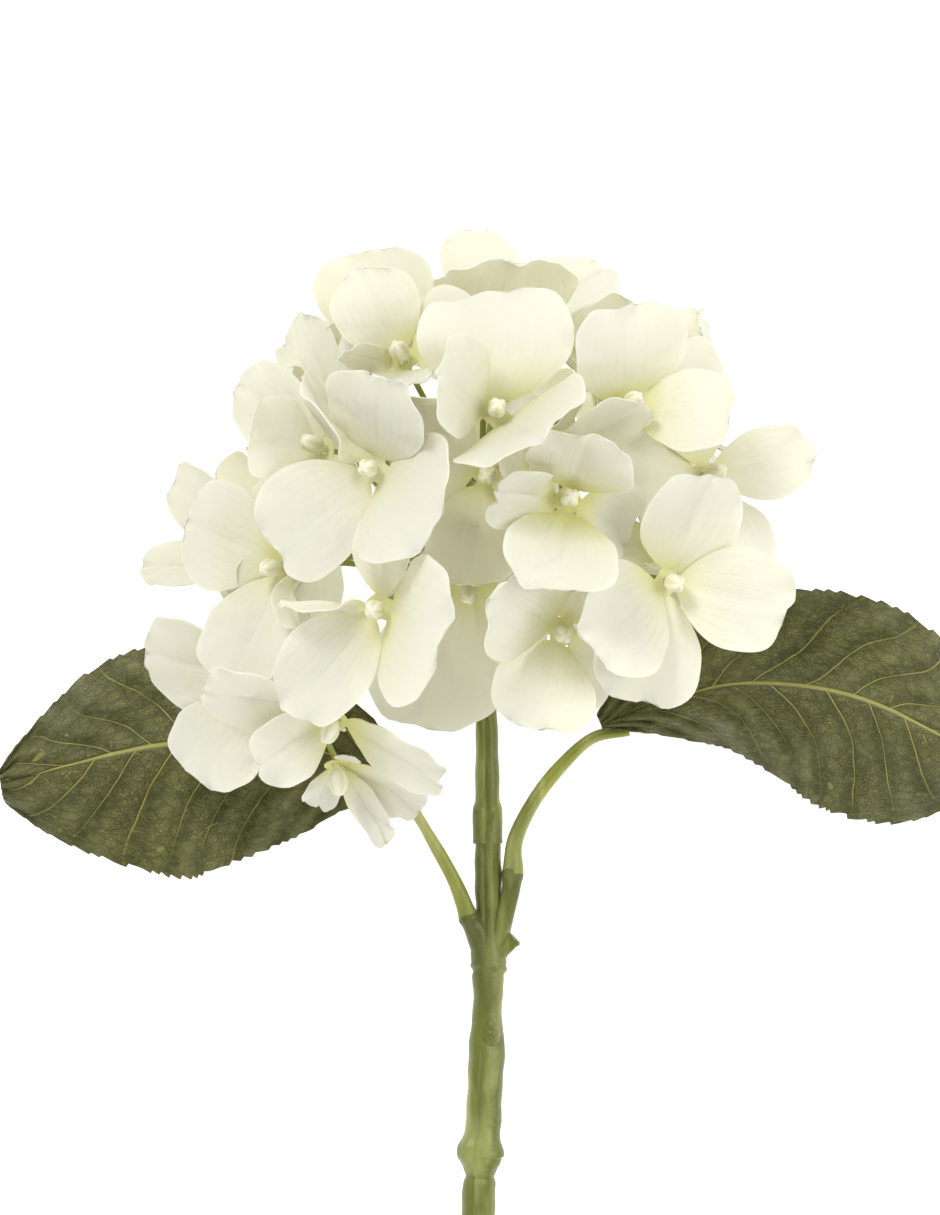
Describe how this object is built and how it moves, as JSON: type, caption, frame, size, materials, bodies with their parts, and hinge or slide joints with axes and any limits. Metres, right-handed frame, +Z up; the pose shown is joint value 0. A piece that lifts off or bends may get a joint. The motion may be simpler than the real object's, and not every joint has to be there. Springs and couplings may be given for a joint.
{
  "type": "cut hydrangea stem",
  "caption": "Cut hydrangea stem lying on its side: a domed mop head of four-sepal cream florets, two serrated leaves and a long green stem.",
  "frame": {"origin": "centre of the bounding box's bottom face, on the surface the stem lies on", "axes": "+Z up from the surface, +Y along the stem towards the head, +X to the right of the open face of the head seen from above"},
  "size_m": [0.2502, 0.428, 0.1462],
  "materials": {
    "stem": "moulded olive green stem, satin",
    "petiole": "moulded yellow-green leaf stalk, satin",
    "leaf": "dark olive leaf with raised net of paler veins, faint sheen",
    "branch": "cream bead ends on pale green pegs",
    "sepal": "cream translucent petal cloth, yellow-green towards the middle"
  },
  "bodies": {
    "root": {"branch_back_left": "branch", "branch_back_right": "branch", "branch_front_left": "branch", "branch_front_right": "branch", "branch_front_top": "branch", "branch_left": "branch", "branch_low_left": "branch", "branch_right": "branch", "branch_top": "branch", "floret_01": "sepal", "floret_02": "sepal", "floret_03": "sepal", "floret_04": "sepal", "floret_05": "sepal", "floret_06": "sepal", "floret_07": "sepal", "floret_08": "sepal", "floret_09": "sepal", "floret_10": "sepal", "floret_11": "sepal", "floret_12": "sepal", "floret_13": "sepal", "floret_14": "sepal", "floret_15": "sepal", "floret_16": "sepal", "floret_17": "sepal", "floret_18": "sepal", "floret_19": "sepal", "floret_20": "sepal", "floret_21": "sepal", "floret_22": "sepal", "floret_23": "sepal", "floret_24": "sepal", "floret_25": "sepal", "floret_26": "sepal", "floret_27": "sepal", "floret_28": "sepal", "floret_29": "sepal", "floret_30": "sepal", "floret_31": "sepal", "floret_32": "sepal", "floret_33": "sepal", "floret_34": "sepal", "floret_35": "sepal", "floret_36": "sepal", "flower_stalk": "stem", "left_leaf": "leaf", "left_petiole": "petiole", "main_stem": "stem", "right_leaf": "leaf", "right_petiole": "petiole"}
  },
  "joints": []
}
